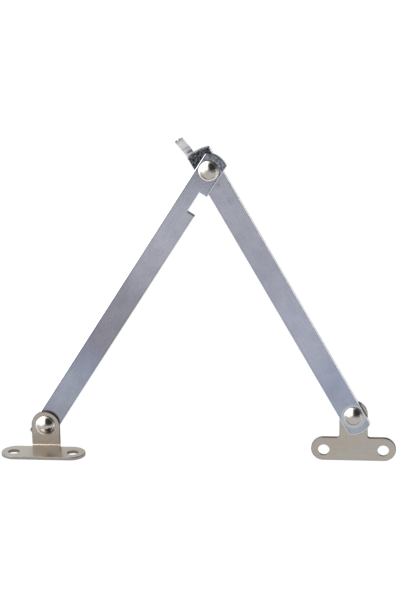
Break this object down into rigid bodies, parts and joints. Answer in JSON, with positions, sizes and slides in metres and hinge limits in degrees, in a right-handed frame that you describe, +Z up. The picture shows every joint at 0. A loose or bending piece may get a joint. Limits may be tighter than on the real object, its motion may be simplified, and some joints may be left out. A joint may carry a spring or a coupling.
{
  "type": "scissor lid stay",
  "caption": "Folding scissor lid stay of flat riveted steel arms with a sprung catch, a flat screw bracket and a bent screw bracket.",
  "frame": {"origin": "middle of the flat bracket's two screw holes, on the face that lies on the wall", "axes": "+X along the flat bracket's row of screw holes, away from the other bracket; +Z up; +Y into the wall, so the rivet heads face -Y"},
  "size_m": [0.1626, 0.0202, 0.1377],
  "materials": {
    "nickel_plate": "warm grey nickel plate, satin",
    "zinc_arm": "bluish zinc plate, fine rolled grain",
    "spring_leaf": "bright spring steel, plated",
    "bright_rivet": "polished nickel plate"
  },
  "bodies": {
    "flat_bracket": {"right_bracket": "nickel_plate", "right_rivet": "bright_rivet"},
    "rear_arm": {"right_arm": "zinc_arm", "centre_rivet": "bright_rivet"},
    "front_arm": {"left_arm": "zinc_arm", "left_rivet": "bright_rivet"},
    "bent_bracket": {"left_bracket": "nickel_plate"},
    "catch": {"release_catch": "spring_leaf"}
  },
  "joints": [
    {"name": "flat_bracket_pivot", "type": "hinge", "parent": "flat_bracket", "child": "rear_arm", "pos_m": [0, 0, 0.0158], "axis": [0, -1, 0], "continuous": true},
    {"name": "centre_pivot", "type": "hinge", "parent": "rear_arm", "child": "front_arm", "pos_m": [-0.05769, 0, 0.11988], "axis": [0, 1, 0], "range_deg": [-55.7, 118.3], "deforming": ["release_catch"]},
    {"name": "bent_bracket_pivot", "type": "hinge", "parent": "front_arm", "child": "bent_bracket", "pos_m": [-0.12765, 0, 0.0109], "axis": [0, 1, 0], "continuous": true},
    {"name": "catch_press", "type": "hinge", "parent": "rear_arm", "child": "catch", "pos_m": [-0.05309, -0.00135, 0.11157], "axis": [-0.8746, 0, -0.4848], "range_deg": [0, 7], "stiffness_Nm_per_rad": 0.5}
  ]
}
